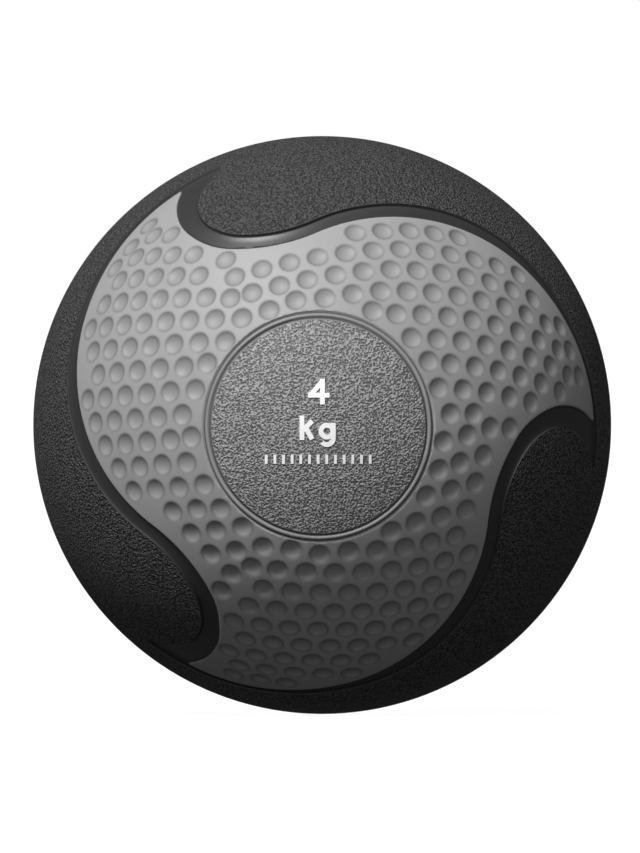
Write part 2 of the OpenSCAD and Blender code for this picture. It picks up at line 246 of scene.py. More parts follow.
def view_to_map(points, level, pad_r):
    """A view point at distance p from the middle lies at arc pad_r * asin(p / level) on the map."""
    p = away(points)[..., None]
    return points * (pad_r * np.arcsin(np.clip(p / level, 0, 1)) / np.maximum(p, TINY))


def map_to_view(points, level, pad_r):
    """A map point at arc q from the middle is seen at distance level * sin(q / pad_r)."""
    q = away(points)[..., None]
    return points * (level * np.sin(q / pad_r) / np.maximum(q, TINY))


def directions(points, pad_r):
    """Unit vectors (right, up, out) of map points: the tilt from the badge's axis is q / pad_r."""
    q = away(points)
    share = np.sin(q / pad_r) / np.maximum(q, TINY)
    return np.stack([points[:, 0] * share, points[:, 1] * share, np.cos(q / pad_r)], -1)


def on_ball(points, radius, pad_r, side):
    """Map points in the row's frame at the given distance, one or one each, from the middle of the ball. The
    rear half is the front half turned half a turn about Z."""
    d = directions(points, pad_r) * np.asarray(radius)[..., None]
    return np.stack([side * d[:, 0], -side * d[:, 2], d[:, 1]], -1)


def inside(points, loop):
    """True for points inside a closed loop: a line to the right of the point crosses it an odd number of
    times."""
    after = np.roll(loop, -1, 0)
    rise = np.where(after[:, 1] == loop[:, 1], 1, after[:, 1] - loop[:, 1])
    odd = np.zeros(len(points), bool)
    for chunk in np.array_split(np.arange(len(points)), max(1, len(points) // 4000)):
        x, y = points[chunk, 0, None], points[chunk, 1, None]
        crosses = (loop[:, 1] > y) != (after[:, 1] > y)
        at = loop[:, 0] + (y - loop[:, 1]) * (after[:, 0] - loop[:, 0]) / rise
        odd[chunk] = (crosses & (x < at)).sum(1) % 2 == 1
    return odd


def seen(points, side):
    """Unit vectors (right, up, out) of points of the row's frame."""
    d = np.stack([side * points[:, 0], points[:, 2], -side * points[:, 1]], -1)
    return d / away(d)[:, None]


def on_map(points, pad_r, side):
    """Map points of points of the row's frame."""
    d = seen(points, side)
    flat = away(d[:, :2])
    return d[:, :2] * (pad_r * np.arctan2(flat, d[:, 2]) / np.maximum(flat, TINY))[:, None]


class Outline:
    """A closed line of three equal thirds, each a chain of arcs (centre, radius, first angle, last angle,
    bulge). The bulge is 1 where the arc's centre lies inside the line and -1 where it lies outside. The
    arcs are drawn in the view, on the ball of radius level."""

    def __init__(self, arcs, level, pad_r):
        self.level, self.pad_r = level, pad_r
        self.arcs = [(turned(np.array(c), k), r, a + k, b + k, bulge)
                     for k in THIRDS for c, r, a, b, bulge in arcs]

    def lift(self, view):
        """View points put on the ball of radius level, as (right, up, out)."""
        out = np.sqrt(np.clip(self.level ** 2 - (view ** 2).sum(-1), 0, None))
        return np.concatenate([view, out[..., None]], -1)

    def row(self, depth, step):
        """Map points along the line at a distance inside it, negative outside. Each arc's radius shrinks by
        the distance times its bulge, shortened as the view shortens it there."""
        rows = []
        for c, r, a, b, bulge in self.arcs:
            n = max(3, int(np.ceil(np.radians(abs(b - a)) * r / (ROW_SPACING * step))))
            e = bearing(np.linspace(a, b, n + 1)[:-1])
            p = c + r * e
            slope = (p * e).sum(-1) / np.sqrt(np.clip(self.level ** 2 - (p ** 2).sum(-1), 1e-8, None))
            rows.append(c + e * (r - bulge * depth / np.sqrt(1 + slope ** 2))[:, None])
        points = view_to_map(np.concatenate(rows), self.level, self.pad_r)
        if depth == 0:
            return points
        true = self.depth(points)
        return points[(np.sign(true) == np.sign(depth)) & (np.abs(true) > abs(depth) * ROW_KEPT)]

    def depth(self, points):
        """Distance of map points from the line, positive inside: the chord over the ball to the nearest
        point of the nearest arc, whose angle is the point's own, held between the arc's ends."""
        view = map_to_view(points, self.level, self.pad_r)
        lifted = self.lift(view)
        best = np.full(len(points), np.inf)
        for c, r, a, b, _ in self.arcs:
            v = view - c
            middle, half = (a + b) / 2, abs(b - a) / 2
            off = (np.degrees(np.arctan2(v[:, 1], v[:, 0])) - middle + 180) % 360 - 180
            near = self.lift(c + r * bearing(middle + np.clip(off, -half, half)))
            best = np.minimum(best, away(lifted - near))
        return np.where(inside(points, self.row(0, 2 * MM)), best, -best)


def chain(centre, radii, angles):
    """Arcs of one third: two arcs of the arm, then the belly, shoulder and nose of the pad that follows,
    and its flank where a sixth radius is given. Each arc's centre lies on the line through the last centre
    and the point that both share."""
    c = np.array(centre)
    arcs = [(c, radii[0], angles[0], angles[1], 1)]
    c = c + (radii[0] - radii[1]) * bearing(angles[1])
    arcs.append((c, radii[1], angles[1], angles[2], 1))
    c = c + (radii[1] + radii[2]) * bearing(angles[2])
    arcs.append((c, radii[2], angles[2] + 180, angles[3], -1))
    for i in range(3, len(radii)):
        c = c + (radii[i - 1] - radii[i]) * bearing(angles[i])
        arcs.append((c, radii[i], angles[i], angles[i + 1], -1))
    return arcs


def outlines():
    """The inlay's outline and the pads' inner outline."""
    levels, swirl = settings("levels", "swirl")
    r = levels.pad_r

    def drawn(centre, radii, angles, level):
        return Outline(chain([r * v for v in centre], [r * v for v in radii], angles), level, r)

    return (drawn(swirl.arm_centre, swirl.arm_radii, swirl.arm_angles, r - levels.inlay_drop),
            drawn(swirl.pad_centre, swirl.pad_radii, swirl.pad_angles, r))


def ring(radius, step):
    """Points of a circle round the map's middle."""
    n = 3 * int(np.ceil(2 * math.pi * radius / step / 3))
    return radius * bearing(np.arange(n) * 360 / n)


def lattice(reach, step):
    """Points of a triangular lattice over a disc of the map."""
    rise = step * math.sqrt(0.75)
    rows = np.arange(-math.ceil(reach / rise), math.ceil(reach / rise) + 1)
    cols = np.arange(-math.ceil(reach / step) - 1, math.ceil(reach / step) + 2)
    x = (cols[None, :] + 0.5 * (rows[:, None] % 2)) * step
    points = np.stack([x, np.broadcast_to(rows[:, None] * rise, x.shape)], -1).reshape(-1, 2)
    return points[away(points) < reach]


def triangles_between(loops, points):
    """Delaunay triangles of the map between an outer loop and the loops of its holes, over those and more
    points. Returns the points and the triangles, turned counterclockwise."""
    edges, start = [], 0
    for loop in loops:
        i = np.arange(len(loop))
        edges.append(np.stack([start + i, start + (i + 1) % len(loop)], -1))
        start += len(loop)
    flat = np.concatenate([*loops, *points])
    scale = 1 / np.abs(flat).max()
    within_edges, least = 2, 1e-7
    _, _, faces, came_from, _, _ = delaunay_2d_cdt([Vector(p) for p in (flat * scale).tolist()],
                                                   np.concatenate(edges).tolist(), [], within_edges, least,
                                                   True)
    faces = np.array([i[0] for i in came_from])[np.array(faces)]
    a, b, c = flat[faces].transpose(1, 0, 2)
    area = (b[:, 0] - a[:, 0]) * (c[:, 1] - a[:, 1]) - (b[:, 1] - a[:, 1]) * (c[:, 0] - a[:, 0])
    faces[area < 0] = faces[area < 0][:, ::-1]
    on_loops = np.flatnonzero((faces < start).all(1))
    keep = np.ones(len(faces), bool)
    for i, loop in enumerate(loops):
        keep[on_loops] &= inside(flat[faces[on_loops]].mean(1), loop) == (i == 0)
    return flat, faces[keep]


def wall(upper, lower, faces_out=True):
    """Strip of triangles between two closed rows of points. It faces away from the area that the rows run
    counterclockwise round, or into it."""
    n = len(upper)
    i, j = np.arange(n), (np.arange(n) + 1) % n
    faces = np.concatenate([np.stack([i, i + n, j + n], -1), np.stack([i, j + n, j], -1)])
    return np.concatenate([upper, lower]), faces if faces_out else faces[:, ::-1]


def closed_mesh(name, parts, **attributes):
    """One mesh of several (points, triangles) parts, merged where their points fall together. Each
    attribute is a function of the points."""
    start, points, faces = 0, [], []
    for p, f in parts:
        points.append(p)
        faces.append(f + start)
        start += len(p)
    points, faces = np.concatenate(points), np.concatenate(faces)
    _, first, same = np.unique(np.round(points / MERGE).astype(np.int64), axis=0, return_index=True,
                               return_inverse=True)
    faces = same.reshape(-1)[faces]
    faces = faces[(faces != np.roll(faces, 1, 1)).all(1)]
    used, faces = np.unique(faces, return_inverse=True)
    points, faces = points[first[used]], faces.reshape(-1, 3)
    mesh = bpy.data.meshes.new(name)
    mesh.vertices.add(len(points))
    mesh.vertices.foreach_set("co", points.astype(np.float32).ravel())
    mesh.loops.add(3 * len(faces))
    mesh.loops.foreach_set("vertex_index", faces.astype(np.int32).ravel())
    mesh.polygons.add(len(faces))
    mesh.polygons.foreach_set("loop_start", np.arange(0, 3 * len(faces), 3, dtype=np.int32))
    mesh.update(calc_edges=True)
    mesh.polygons.foreach_set("use_smooth", np.ones(len(faces), bool))
    mesh.set_sharp_from_angle(angle=math.radians(SHARP_ANGLE))
    for title, share in attributes.items():
        layer = mesh.attributes.new(title, "FLOAT", "POINT")
        layer.data.foreach_set("value", share(points).astype(np.float32))
    if mesh.validate():
        raise RuntimeError(f"{name} had faces that don't hold together")
    piece = bpy.data.objects.new(name, mesh)
    bpy.context.scene.collection.objects.link(piece)
    return piece


def finish_piece(piece, material, node):
    """Gives a piece its material and its place in the frame."""
    piece.data.materials.append(material)
    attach(piece, "root")
    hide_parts(node)


# ---- profiles

def eased(x):
    """0 to 1 over x from 0 to 1, level at both ends: x * x * (3 - 2x)."""
    x = np.clip(x, 0, 1)
    return x * x * (3 - 2 * x)


def rounded(x, width):
    """Drop of a quarter-circle edge of the given width at distance x from the edge."""
    x = np.clip(x, 0, width)
    return width - np.sqrt(np.clip(width ** 2 - (width - x) ** 2, 0, None))


def cover_radius(points, inlay, pads):
    """Distance of the cover's surface from the middle: the pads' level less a rounding along their crest,
    then a steep wall, a hollow foot and the level band, with a fine bevel where it meets the inlay and the
    parting line at the equator."""
    levels, = settings("levels")
    into_band = pads.depth(points)
    out = np.clip(1 + into_band / levels.crest, 0, 1)
    crest = CREST_SHARE * levels.band_drop * (1 - np.sqrt(1 - CREST_TURN * out ** 2))
    foot = np.clip(1 - (into_band - levels.wall) / levels.foot, 0, 1)
    fallen = levels.band_drop * (1 - FOOT_SHARE * foot ** 2) - crest
    drop = crest + fallen * np.clip(into_band / levels.wall, 0, 1)
    from_inlay = -inlay.depth(points)
    drop = drop + rounded(BEVEL - np.clip(from_inlay, 0, BEVEL), BEVEL) * BEVEL_SHARE
    to_equator = levels.pad_r * math.pi / 2 - away(points)
    drop = drop + levels.parting * np.exp(-(to_equator / PARTING_WIDTH) ** 2)
    return levels.pad_r - drop


def dimple_directions(inlay):
    """Directions of all dimples of a half. Rows circle a pole that leans from each arm; a row's dimples
    follow each other by the pitch, and rows mirrored to the trailing side fill what they leave. A dimple
    stays where it keeps its rim from the outline and the badge."""
    levels, dimples, badge = settings("levels", "dimples", "badge")

    def direction(tilt, turn):
        tilt = np.radians(tilt)[..., None]
        return np.concatenate([np.sin(tilt) * bearing(turn), np.cos(tilt)], -1)

    pole = direction(*dimples.pole)
    pitch = math.radians(dimples.pitch[0])
    radius = (levels.pad_r - levels.inlay_drop) * math.sin(math.radians(dimples.span[0] / 2))
    margin = radius + dimples.rim
    row, i = [v.ravel() for v in np.indices((DIMPLE_ROWS, DIMPLES_PER_ROW))]
    from_pole = np.radians(dimples.first_row[0] + row * dimples.row_pitch[0])
    share = math.hypot(pole[0], pole[2])
    start = math.atan2(pole[0], pole[2]) + np.arccos(np.clip(np.cos(from_pole) / share, -1, 1))
    first = np.stack([np.sin(start), np.zeros(len(start)), np.cos(start)], -1)
    turn = (-2 * i * np.arcsin(math.sin(pitch / 2) / np.sin(from_pole)))[:, None]
    leading = (first * np.cos(turn) + np.cross(pole, first) * np.sin(turn)
               + pole * (first @ pole)[:, None] * (1 - np.cos(turn)))

    def spun(d, angle):
        return np.concatenate([turned(d[:, :2], angle), d[:, 2:]], -1)

    def fits(d):
        d = spun(d, dimples.arm_axis[0])
        view = d[:, :2] * levels.pad_r
        spots = view_to_map(view, levels.pad_r, levels.pad_r)
        off_badge = away(view) - badge.edge_r > margin * d[:, 2] + badge.groove
        return off_badge & (inlay.depth(spots) > margin) & (d[:, 2] > 0)

    leading = leading[np.degrees(np.arctan2(leading[:, 1], leading[:, 0])) > LEADING_END]
    leading = leading[fits(leading)]
    mirrored = leading * [1, -1, 1]
    crowded = (mirrored @ spun(leading, 120).T).max(1) > math.cos(CROWDED * pitch)
    trailing = mirrored[(mirrored[:, 1] > OFF_MIDDLE) & ~crowded]
    trailing = trailing[fits(trailing)]
    between = direction(dimples.gap_tilts, dimples.gap_turns)
    every = np.concatenate([leading, trailing, between[fits(between)]])
    return np.concatenate([spun(every, dimples.arm_axis[0] + k) for k in THIRDS])


def nearest_dimple(d, centres):
    """Cosine of the angle from each direction to the nearest dimple's, worked out some thousands at a
    time."""
    return np.concatenate([(part @ centres.T).max(1) for part in np.array_split(d, max(1, len(d) // 8000))])


def inlay_radius(points, inlay, centres):
    """Distance of the inlay's surface from the middle: its level less the dimples, which are caps of a ball
    pressed in, blended into the level over a soft lip, and less the rounding at the outline and the groove
    at the badge."""
    levels, dimples, badge = settings("levels", "dimples", "badge")
    level = levels.pad_r - levels.inlay_drop
    half = math.radians(dimples.span[0] / 2)
    reach = level * math.sin(half)
    press = reach * (1 + dimples.depth[0] ** 2) / 2 / dimples.depth[0]
    at = level * math.cos(half) + math.sqrt(press ** 2 - reach ** 2)
    cos = nearest_dimple(directions(points, levels.pad_r), centres)
    under = press ** 2 - at ** 2 * np.clip(1 - cos ** 2, 0, None)
    pressed = np.where(under > 0, level - (at * cos - np.sqrt(np.clip(under, 0, None))), NO_DIMPLE)
    sunk = (pressed + np.sqrt(pressed ** 2 + dimples.lip ** 2)) / 2
    off_badge = (away(points) - badge_arc()) / badge.groove
    groove = badge.groove * np.sqrt(np.clip(1 - off_badge ** 2, 0, None))
    edge = rounded(INLAY_EDGE - np.clip(INLAY_EDGE - inlay.depth(points), 0, INLAY_EDGE), INLAY_EDGE)
    return level - sunk - groove - edge


def badge_arc():
    """Arc from the badge's axis to its edge, on the map."""
    levels, badge = settings("levels", "badge")
    return levels.pad_r * math.asin(badge.edge_r / (levels.pad_r - BADGE_SEAT))


def smooth_noise(points, seed):
    """Noise from -1 to 1 that changes over one unit: each corner of a unit lattice has its own slope, hashed
    from its place, and the slopes of the eight corners round a point are blended by a fifth-power ease."""
    cell = np.floor(points).astype(np.int64)
    f = points - cell
    ease = f ** 3 * (f * (f * 6 - 15) + 10)
    total = np.zeros(len(points))
    for corner in np.ndindex(2, 2, 2):
        x, y, z = (cell + corner).T
        h = (x * HASH[0] ^ y * HASH[1] ^ z * HASH[2] ^ seed * HASH[3]) & LOW_32
        h = ((h ^ (h >> 15)) * HASH[4]) & LOW_32
        h = ((h ^ (h >> 13)) * HASH[5]) & LOW_32
        slope = np.stack([(h & 1023), (h >> 10 & 1023), (h >> 20 & 1023)], -1) / 511.5 - 1
        weight = np.prod(np.where(corner, ease, 1 - ease), axis=1)
        total += weight * (slope * (f - corner)).sum(1)
    return total


def badge_radius(points):
    """Distance of the badge's surface from the middle: its level, with a rounded bead between two grooves
    at its edge, and inside them the leather grain, which is folded noise stretched along the wrinkles and
    bent by slower noise, with small cells between the folds."""
    levels, badge = settings("levels", "badge")
    level = levels.pad_r - levels.badge_drop
    e = (badge_arc() - away(points)) / badge.bead_w
    bead = np.interp(e, BEAD_PLACES, BEAD_HEIGHTS) * badge.bead_h
    size, stretch, bend = badge.grain_size, 1.55, 0.55
    p = np.concatenate([points / [stretch * size, size], np.zeros((len(points), 1))], 1)
    p = p + bend * np.stack([smooth_noise(p * 0.8 + 7, 3), smooth_noise(p * 0.8 + 19, 5), p[:, 2]], -1)
    fold = 1 - np.abs(smooth_noise(p, 1)) * 3.2
    cells = smooth_noise(p * 1.7, 2) * 1.6
    grain = np.clip(0.62 - 0.5 * fold + 0.3 * cells, 0, 1)
    return level + bead - badge.grain_depth * (1 - grain) * eased((e - 1.2) / 0.3)


# ---- materials

class Finish:
    """A material's node tree under construction, on Object coordinates in metres."""

    def __init__(self, name):
        self.material = bpy.data.materials.new(name)
        self.material.use_nodes = True
        self.tree = self.material.node_tree
        self.shader = self.tree.nodes["Principled BSDF"]
        self.place = self.add("ShaderNodeTexCoord").outputs["Object"]

    def add(self, kind, sockets=None, **options):
        """A node with its options and its inputs, each a number, a colour or another node's output."""
        node = self.tree.nodes.new(kind)
        for key, value in options.items():
            setattr(node, key, value)
        self.feed(node, sockets or {})
        return node

    def feed(self, node, sockets):
        for key, value in sockets.items():
            if isinstance(value, bpy.types.NodeSocket):
                self.tree.links.new(value, node.inputs[key])
            else:
                node.inputs[key].default_value = value

    def share(self, name):
        """The value of a mesh attribute."""
        return self.add("ShaderNodeAttribute", attribute_name=name).outputs["Fac"]

    def noise(self, size, detail=3.0, roughness=0.5):
        """Noise with features of about the given size in metres."""
        return self.add("ShaderNodeTexNoise", {"Vector": self.place, "Scale": 1 / size, "Detail": detail,
                                               "Roughness": roughness}).outputs["Fac"]

    def cells(self, size, **rounding):
        """Distance from the nearest of scattered points about the given size apart. A Smoothness rounds the
        borders between their cells, so that each is a pebble."""
        sockets = {"Vector": self.place, "Scale": 1 / size, **rounding}
        return self.add("ShaderNodeTexVoronoi", sockets,
                        feature="SMOOTH_F1" if rounding else "F1").outputs["Distance"]

    def blend(self, share, low, high):
        """A value or colour between low and high."""
        is_colour = hasattr(low, "__len__") or getattr(low, "type", "") == "RGBA"
        node = self.add("ShaderNodeMix", data_type="RGBA" if is_colour else "FLOAT")
        first = 6 if is_colour else 2
        self.feed(node, {0: share, first: low, first + 1: high})
        return node.outputs[2 if is_colour else 0]

    def maths(self, operation, a, b=0.0):
        return self.add("ShaderNodeMath", {0: a, 1: b}, operation=operation).outputs[0]

    def ramp(self, value, low, high):
        """0 below low and 1 above high."""
        return self.add("ShaderNodeMapRange", {"Value": value, "From Min": low, "From Max": high}).outputs[0]

    def bump(self, height, depth, normal=None):
        """Bumps of the given depth in metres."""
        sockets = {"Height": height, "Distance": depth, "Strength": 1.0}
        if normal:
            sockets["Normal"] = normal
        return self.add("ShaderNodeBump", sockets).outputs[0]

    def done(self, colour, roughness, normal, **constants):
        self.feed(self.shader, {"Base Color": colour, "Roughness": roughness, "Normal": normal})
        for key, value in constants.items():
            self.shader.inputs[key.replace("_", " ")].default_value = value
        return self.material


def shades(colour, *factors):
    """A colour of the finish group times each factor, which makes it darker or lighter."""
    finish, = settings("finish")
    return [[*(c * k for c in getattr(finish, colour)[:3]), 1.0] for k in factors]


def once(name):
    """Keeps a material that was made before."""
    def wrap(make):
        return lambda: bpy.data.materials.get(name) or make(Finish(name))
    return wrap


@once("ball_black_rubber")
def black_rubber(f):
    """Pebbled pads and a smooth band, told apart by the grain attribute. Pebbles are 1 mm cells under fine
    noise, their tops polished a little smoother than the hollows between them, and painted lighter as a
    painted highlight, while the hollows are painted darker as painted shade. The foot of the pads' wall
    carries painted shade, which also makes it rougher."""
    # The darker and lighter shades paint shade in the pebbles' hollows and a highlight on their tops; the
    # near-black one paints shade at the foot of the pads' wall.
    low, high, band, painted_shade_colour = shades("black", 0.35, 2.1, 0.7, 0.08)
    on_pads, crease = f.share("grain"), f.share("crease")
    pebble = f.cells(0.95 * MM, Smoothness=0.6)
    fine = f.noise(0.5 * MM, 2)
    cloud = f.noise(24 * MM, 4, 0.6)
    height = f.maths("ADD", f.maths("MULTIPLY", pebble, -1.0), f.maths("MULTIPLY", fine, 0.6))
    grained = f.bump(f.maths("MULTIPLY", height, on_pads), 1.1 * MM)
    satin = f.bump(f.noise(0.7 * MM, 2), 0.012 * MM, grained)
    # Painted highlight on the pebbles' tops and painted shade in their hollows; the next line also paints
    # shade at the foot of the pads' wall.
    hollow = f.maths("MULTIPLY", f.ramp(pebble, 0.2, 0.6), on_pads)
    colour = f.blend(crease, f.blend(on_pads, band, f.blend(hollow, high, low)), painted_shade_colour)
    rough = f.blend(on_pads, 0.40, f.blend(f.ramp(pebble, 0.2, 0.7), 0.42, 0.75))
    rough = f.maths("ADD", f.blend(crease, rough, 0.9), f.blend(cloud, -0.05, 0.05))
    return f.done(colour, rough, satin, Specular_IOR_Level=0.5)


@once("ball_grey_rubber")
def grey_rubber(f):
    """Satin grey rubber with a faint cloudiness, a fine matt tooth, a few darker scuffs, and painted shade
    round the dimples' rims, over their bottoms and beside the badge."""
    low, high, dark = shades("grey", 0.93, 1.06, 0.42)
    cloud = f.noise(18 * MM, 4, 0.6)
    tooth = f.noise(0.45 * MM, 3, 0.6)
    scuff = f.ramp(f.noise(3.5 * MM, 6, 0.7), 0.62, 0.72)
    colour = f.blend(f.maths("MULTIPLY", scuff, 0.25), f.blend(cloud, low, high), low)
    # Painted shade: the dark grey is blended in round the dimples' rims, over their bottoms and beside the
    # badge.
    colour = f.blend(f.maths("MULTIPLY", f.share("crease"), 0.75), colour, dark)
    rough = f.maths("ADD", f.blend(cloud, 0.46, 0.54), f.maths("MULTIPLY", scuff, 0.08))
    return f.done(colour, rough, f.bump(tooth, 0.12 * MM), Specular_IOR_Level=0.4)


@once("ball_badge_rubber")
def badge_rubber(f):
    """Mid-grey rubber over the modelled leather grain, with a finer grain between the wrinkles, painted
    lighter on its tops and darker in its dips as painted highlight and shade, and painted shade in the
    grooves beside the bead.
    """
    low, high, painted_shade_colour = shades("badge", 0.46, 1.56, 0.12)
    grained = f.share("grain")
    height = f.maths("MULTIPLY", f.ramp(f.noise(0.8 * MM, 0.3), 0.36, 0.64), grained)
    # Painted highlight and shade follow the finer grain's height, and the near-black shade is painted into
    # the grooves beside the bead.
    colour = f.blend(f.share("crease"), f.blend(f.blend(grained, 0.6, height), low, high), painted_shade_colour)
    return f.done(colour, f.blend(height, 0.6, 0.45), f.bump(height, 0.31 * MM), Specular_IOR_Level=0.45)


@once("ball_white_ink")
def white_ink(f):
    """Flat screen ink that shows a little of the grain under it and thins in specks."""
    low, high = shades("ink", 0.9, 1.04)
    specks = f.noise(0.6 * MM, 4, 0.65)
    return f.done(f.blend(specks, low, high), f.blend(specks, 0.5, 0.62), f.bump(specks, 0.06 * MM),
                  Specular_IOR_Level=0.35)


@once("ball_heavy_rubber")
def heavy_rubber(f):
    """Dull rubber filled with mineral grit, in flecks of a lighter shade."""
    low, high = shades("heavy", 0.8, 1.5)
    fleck = f.ramp(f.cells(1.8 * MM), 0.1, 0.35)
    rough = f.noise(0.8 * MM, 5, 0.65)
    return f.done(f.blend(fleck, high, low), f.blend(rough, 0.7, 0.9), f.bump(rough, 0.12 * MM),
                  Specular_IOR_Level=0.3)


@once("ball_nylon_thread")
def nylon_thread(f):
    """Turns of thread that cross at two slants: two wave patterns, each over where the other dips."""
    low, high = shades("thread", 0.6, 1.05)
    waves = []
    for turn in (math.radians(34), math.radians(-41)):
        place = f.add("ShaderNodeMapping", {"Vector": f.place, "Rotation": (turn, turn, 0)}).outputs[0]
        waves.append(f.add("ShaderNodeTexWave", {"Vector": place, "Scale": 0.31 / MM, "Distortion": 0.7,
                                                 "Detail": 1.0}, bands_direction="Z").outputs["Fac"])
    lay = f.maths("MAXIMUM", *waves)
    return f.done(f.blend(lay, low, high), f.blend(lay, 0.75, 0.5), f.bump(lay, 0.3 * MM),
                  Specular_IOR_Level=0.4)


@once("ball_bladder_rubber")
def bladder_rubber(f):
    """Smooth butyl with a soft bloom of talc."""
    low, high = shades("bladder", 0.9, 1.8)
    bloom = f.noise(9 * MM, 6, 0.7)
    return f.done(f.blend(f.ramp(bloom, 0.45, 0.7), low, high), f.blend(bloom, 0.3, 0.55),
                  f.bump(f.noise(1.2 * MM, 3), 0.03 * MM), Specular_IOR_Level=0.45)


@once("ball_valve_rubber")
def valve_rubber(f):
    """Soft turned rubber with fine rings round the needle's hole."""
    low, high = shades("valve", 0.85, 1.5)
    rings = f.add("ShaderNodeTexWave", {"Vector": f.place, "Scale": 0.45 / MM, "Distortion": 0.4},
                  wave_type="RINGS", rings_direction="Y").outputs["Fac"]
    dust = f.noise(2 * MM, 5, 0.6)
    return f.done(f.blend(dust, low, high), f.blend(dust, 0.4, 0.6), f.bump(rings, 0.03 * MM),
                  Specular_IOR_Level=0.45)


# ---- operators

class MESH_OT_ball_covers(bpy.types.Operator):
    """Black covers of both halves, with their pads, band, pocket and parting line"""
    bl_idname = "mesh.ball_covers"
    bl_label = "Covers"

    def execute(self, context):
        levels, finish, badge = settings("levels", "finish", "badge")
        r, step = levels.pad_r, finish.cover_step
        inlay, pads = outlines()
        reach = r * math.pi / 2
        equator = ring(reach, step)
        edge = inlay.row(0, step)
        rows = [pads.row(d * MM, 0.95 * step) for d in PAD_ROWS]
        rows = [row[inlay.depth(row) < -0.5 * MM] for row in rows]
        rows += [inlay.row(d * MM, step) for d in BEVEL_ROWS]
        rows += [ring(reach - d * MM, step) for d in PARTING_ROWS]
        spread = lattice(reach - 1.3 * MM, step)
        into_band, into_inlay = pads.depth(spread), inlay.depth(spread)
        off_pads = (into_band < -1.8 * MM) | (into_band > 1.6 * MM)
        spread = spread[off_pads & (into_inlay < -0.8 * MM)]
        top, top_faces = triangles_between([equator, edge], [*rows, spread])
        radii = cover_radius(top, inlay, pads)
        seat, inner = r - levels.inlay_drop - levels.inlay_t, r - levels.cover_t
        hidden = lattice(reach - finish.hidden_step / 2, finish.hidden_step)
        for name, side in SIDES.items():
            hole = [] if side > 0 else [ring(badge.boot_r, 1.0 * MM)]
            spare = hidden if side > 0 else hidden[away(hidden) > badge.boot_r + MM]
            pocket, pocket_faces = triangles_between([edge, *hole], [spare[inlay.depth(spare) > 1.5 * MM]])
            back, back_faces = triangles_between([equator, *hole], [spare])
            at = functools.partial(on_ball, pad_r=r, side=side)
            parts = [
                (at(top, radii), top_faces),
                wall(at(edge, cover_radius(edge, inlay, pads)), at(edge, seat), False),
                (at(pocket, seat), pocket_faces),
                wall(at(equator, cover_radius(equator, inlay, pads)), at(equator, inner)),
                (at(back, inner), back_faces[:, ::-1]),
            ]
            parts += [wall(at(h, seat), at(h, inner), False) for h in hole]

            def grain(points, side=side):
                """1 on the pads, easing to 0 over half a millimetre at their edge."""
                return eased((-0.1 * MM - pads.depth(on_map(points, r, side))) / (0.5 * MM))

            def crease(points, side=side):
                """Painted shade: a bell over the foot of the pads' wall."""
                off_wall = pads.depth(on_map(points, r, side)) / (0.36 * MM)
                return np.exp(-(off_wall - 0.7) ** 2)

            piece = closed_mesh(f"ball_cover_{name}", parts, grain=grain, crease=crease)
            finish_piece(piece, black_rubber(), f"cover_{name}")
        return {"FINISHED"}


class MESH_OT_ball_inlays(bpy.types.Operator):
    """Grey dimpled inlays of both halves"""
    bl_idname = "mesh.ball_inlays"
    bl_label = "Inlays"

    def execute(self, context):
        levels, finish, dimples = settings("levels", "finish", "dimples")
        r, step = levels.pad_r, finish.inlay_step
        inlay, _ = outlines()
        edge, cut = inlay.row(0, finish.cover_step), ring(badge_arc(), step)
        rows = [inlay.row(d * MM, step) for d in INLAY_ROWS]
        rows += [ring(badge_arc() + d * MM, step) for d in GROOVE_ROWS]
        spread = lattice(r * math.pi / 2, step)
        spread = spread[away(spread) > badge_arc() + 1.1 * MM]
        spread = spread[inlay.depth(spread) > 0.85 * MM]
        top, top_faces = triangles_between([edge, cut], [*rows, spread])
        centres = dimple_directions(inlay)
        radii = inlay_radius(top, inlay, centres)
        under = r - levels.inlay_drop - levels.inlay_t + levels.film
        hidden = lattice(r * math.pi / 2, finish.hidden_step)
        hidden = hidden[away(hidden) > badge_arc() + 1.5 * MM]
        base, base_faces = triangles_between([edge, cut], [hidden[inlay.depth(hidden) > 1.5 * MM]])
        for name, side in SIDES.items():
            at = functools.partial(on_ball, pad_r=r, side=side)
            parts = [
                (at(top, radii), top_faces),
                wall(at(edge, inlay_radius(edge, inlay, centres)), at(edge, under)),
                wall(at(cut, inlay_radius(cut, inlay, centres)), at(cut, under), False),
                (at(base, under), base_faces[:, ::-1]),
            ]

            def crease(points, side=side):
                """Painted shade: a bell over each dimple's rim, a weaker one over its bottom, and one at the
                badge.
                """
                nearest = nearest_dimple(seen(points, side), centres)
                off = np.degrees(np.arccos(np.clip(nearest, -1, 1))) / (dimples.span[0] / 2)
                rim, bottom = np.exp(-((off - 0.93) / 0.15) ** 2), 0.35 * eased((1.1 - off) / 0.3)
                off_badge = away(on_map(points, r, side)) - badge_arc()
                return np.maximum(np.maximum(rim, bottom), 1.3 * np.exp(-(off_badge / (0.4 * MM)) ** 2))

            piece = closed_mesh(f"ball_inlay_{name}", parts, crease=crease)
            finish_piece(piece, grey_rubber(), f"inlay_{name}")
        return {"FINISHED"}


